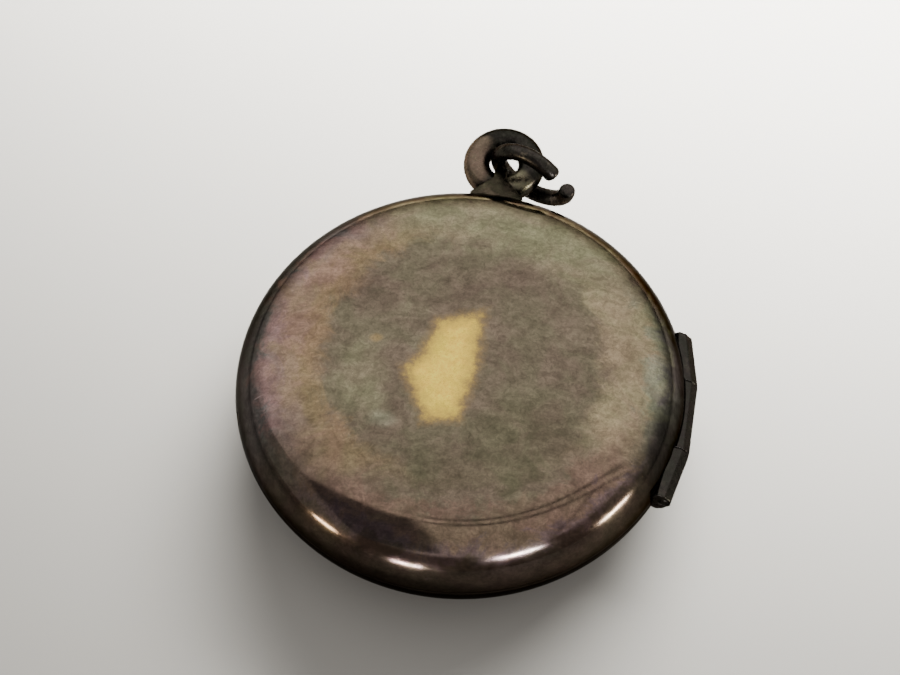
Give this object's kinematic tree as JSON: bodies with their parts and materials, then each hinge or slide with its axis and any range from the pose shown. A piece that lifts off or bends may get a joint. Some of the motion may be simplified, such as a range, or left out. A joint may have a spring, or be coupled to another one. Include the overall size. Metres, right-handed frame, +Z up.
{
  "type": "locket",
  "caption": "Round tarnished silver photo locket with domed halves, a side hinge, a pierced lug, a thick bail ring and an open jump ring.",
  "frame": {"origin": "centre of the small flat in the middle of the back shell, on which the closed locket lies", "axes": "+Z up through the two halves, +Y towards the lug, +X towards the hinge"},
  "size_m": [0.0305, 0.036, 0.0088],
  "materials": {
    "tarnished_silver_front": "satin tarnished silver, olive and mauve film with a bare pale-gold patch",
    "tarnished_silver_back": "satin tarnished silver, brown and violet film",
    "dark_silver": "nearly black sulphide tarnish",
    "inner_silver": "lightly tarnished satin silver",
    "backing_card": "uncoated grey-brown card",
    "photo_paper": "matt, faded plain sepia paper with no picture",
    "crystal": "clear"
  },
  "bodies": {
    "back_half": {"back_shell": "tarnished_silver_back", "back_rim": "inner_silver", "snap_collar": "inner_silver", "back_backing_card": "backing_card", "back_photo": "photo_paper", "back_crystal": "crystal", "back_frame": "inner_silver", "back_knuckle_lower": "dark_silver", "back_knuckle_upper": "dark_silver", "hinge_pin": "dark_silver"},
    "front_half": {"front_shell": "tarnished_silver_front", "front_rim": "inner_silver", "front_backing_card": "backing_card", "front_photo": "photo_paper", "front_crystal": "crystal", "front_frame": "inner_silver", "front_knuckle": "dark_silver", "bail_lug": "dark_silver"},
    "bail": {"bail_ring": "dark_silver"},
    "jump": {"jump_ring": "dark_silver"}
  },
  "joints": [
    {"name": "lid_hinge", "type": "hinge", "parent": "back_half", "child": "front_half", "pos_m": [0.0143, 0, 0.00423], "axis": [0, 1, 0], "range_deg": [0, 110]},
    {"name": "bail_swing", "type": "hinge", "parent": "front_half", "child": "bail", "pos_m": [0, 0.0162, 0.00468], "axis": [1, 0, 0], "range_deg": [-40, 35]},
    {"name": "jump_slip", "type": "hinge", "parent": "bail", "child": "jump", "pos_m": [0.00218, 0.01731, 0.00531], "axis": [0.3164, 0.9348, 0.1616], "range_deg": [-75, 150]}
  ]
}
